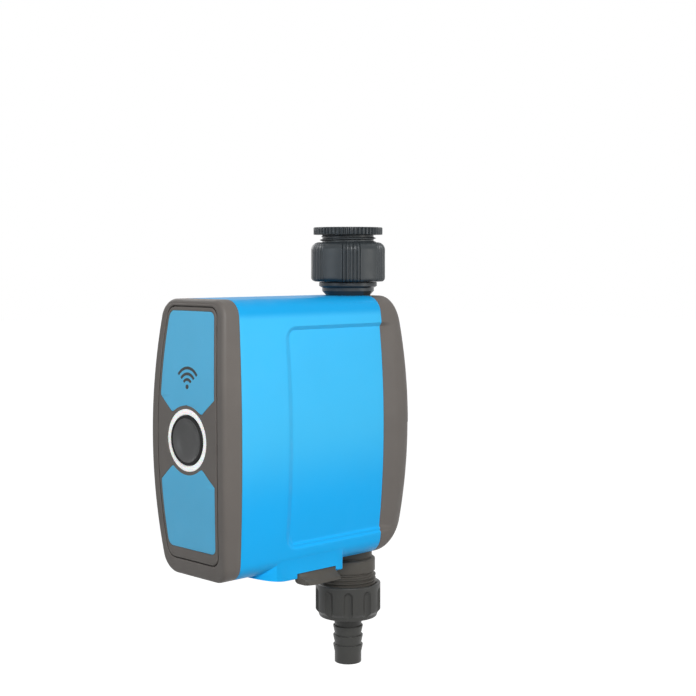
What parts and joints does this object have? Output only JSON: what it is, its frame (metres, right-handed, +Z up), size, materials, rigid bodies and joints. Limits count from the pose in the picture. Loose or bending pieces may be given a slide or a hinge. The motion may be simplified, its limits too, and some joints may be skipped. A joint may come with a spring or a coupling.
{
  "type": "smart water timer",
  "caption": "Battery-powered garden water timer with a tap inlet union, a round push button in a lit ring, a geared ball valve and a barbed hose outlet.",
  "frame": {"origin": "centre of the tap adapter's top face, on the water axis", "axes": "+Z up along the water axis, -Y towards the front panel with the button, +X to the right seen from behind"},
  "size_m": [0.0506, 0.1149, 0.2072],
  "materials": {
    "blue_case": "smooth satin, light blue",
    "grey_case": "fine matt grain, warm dark grey",
    "panel": "satin film, muted blue",
    "ring": "milky white, glossy",
    "button": "satin dark grey",
    "black_union": "smooth near-black",
    "grey_union": "satin dark grey",
    "seal": "black rubber",
    "white_plastic": "natural white acetal",
    "inner_plastic": "plain grey moulding",
    "board": "green solder mask",
    "steel": "bright zinc plate",
    "brass": "plain brass",
    "cell": "printed dark sleeve",
    "lead": "red insulation",
    "light": "diode lens"
  },
  "bodies": {
    "housing": {"main_shell": "blue_case", "front_bezel": "grey_case", "front_gasket": "seal", "rear_cover": "grey_case", "rear_gasket": "seal", "case_screws": "steel", "front_panel": "grey_case", "upper_label": "panel", "lower_label": "panel", "light_ring": "ring", "button_guide": "inner_plastic", "button_spring": "steel", "button_switch": "inner_plastic", "main_board": "board", "radio_module": "steel", "board_components": "inner_plastic", "ring_lights": "light", "board_screws": "steel", "battery_sleeve": "inner_plastic", "supply_contacts": "steel", "inlet_spigot": "black_union", "filter_screen": "white_plastic", "inlet_washer": "seal", "inlet_collar": "black_union", "valve_body": "white_plastic", "stem_seals": "seal", "ball_seats": "white_plastic", "outlet_spigot": "grey_case", "pipe_seals": "seal", "gear_pins": "steel", "gearbox_base": "inner_plastic", "gearbox_cover": "inner_plastic", "gearbox_screws": "steel", "valve_screws": "steel", "position_sensor": "board", "motor_body": "steel", "motor_leads": "lead", "supply_leads": "lead"},
    "button": {"button_cap": "button", "switch_plunger": "inner_plastic"},
    "valve_rotor": {"valve_ball": "brass", "valve_stem": "brass", "output_gear": "white_plastic", "position_magnet": "steel"},
    "middle_gear": {"middle_gear": "white_plastic"},
    "first_gear": {"first_gear": "white_plastic"},
    "motor_rotor": {"motor_pinion": "brass", "motor_shaft": "steel"},
    "battery_drawer": {"battery_drawer": "grey_case", "drawer_gasket": "seal", "battery_cells": "cell", "cell_springs": "steel", "cell_contacts": "steel"},
    "tap_adapter": {"tap_adapter": "black_union", "tap_washer": "seal"},
    "swivel_nut": {"swivel_nut": "black_union"},
    "hose_tail": {"hose_tail": "grey_union", "outlet_washer": "seal"},
    "coupling_nut": {"coupling_nut": "grey_union"}
  },
  "joints": [
    {"name": "button_press", "type": "slide", "parent": "housing", "child": "button", "axis": [0, 1, 0], "range_m": [0, 0.0008], "stiffness_N_per_m": 600, "springref_m": -0.003, "deforming": ["button_spring"]},
    {"name": "valve_turn", "type": "hinge", "parent": "housing", "child": "valve_rotor", "pos_m": [0, -0.02, -0.0678], "axis": [0, 1, 0], "range_deg": [0, 90]},
    {"name": "middle_gear_turn", "type": "hinge", "parent": "housing", "child": "middle_gear", "pos_m": [0.00751, -0.03, -0.05199], "axis": [0, 1, 0], "range_deg": [-360, 0]},
    {"name": "first_gear_turn", "type": "hinge", "parent": "housing", "child": "first_gear", "pos_m": [-0.00409, -0.034, -0.04889], "axis": [0, 1, 0], "range_deg": [0, 1080]},
    {"name": "motor_turn", "type": "hinge", "parent": "housing", "child": "motor_rotor", "pos_m": [-0.01228, -0.04, -0.05462], "axis": [0, 1, 0], "range_deg": [-3240, 0]},
    {"name": "drawer_slide", "type": "slide", "parent": "housing", "child": "battery_drawer", "axis": [0, 0, -1], "range_m": [0, 0.055]},
    {"name": "swivel_nut_turn", "type": "hinge", "parent": "housing", "child": "swivel_nut", "pos_m": [0, 0, -0.016], "axis": [0, 0, -1], "range_deg": [0, 1440]},
    {"name": "adapter_rise", "type": "slide", "parent": "housing", "child": "tap_adapter", "axis": [0, 0, 1], "range_m": [0, 0.00725]},
    {"name": "hose_tail_drop", "type": "slide", "parent": "housing", "child": "hose_tail", "axis": [0, 0, -1], "range_m": [0, 0.00725]},
    {"name": "coupling_nut_turn", "type": "hinge", "parent": "hose_tail", "child": "coupling_nut", "pos_m": [0, 0, -0.177], "axis": [0, 0, -1], "range_deg": [0, 1440]}
  ],
  "couplings": [
    {"joint": "middle_gear_turn", "follows": "valve_turn", "ratio": -4},
    {"joint": "first_gear_turn", "follows": "valve_turn", "ratio": 12},
    {"joint": "motor_turn", "follows": "valve_turn", "ratio": -36},
    {"joint": "swivel_nut_turn", "follows": "adapter_rise", "rad_per_m": 3463.7},
    {"joint": "coupling_nut_turn", "follows": "hose_tail_drop", "rad_per_m": 3463.7}
  ]
}
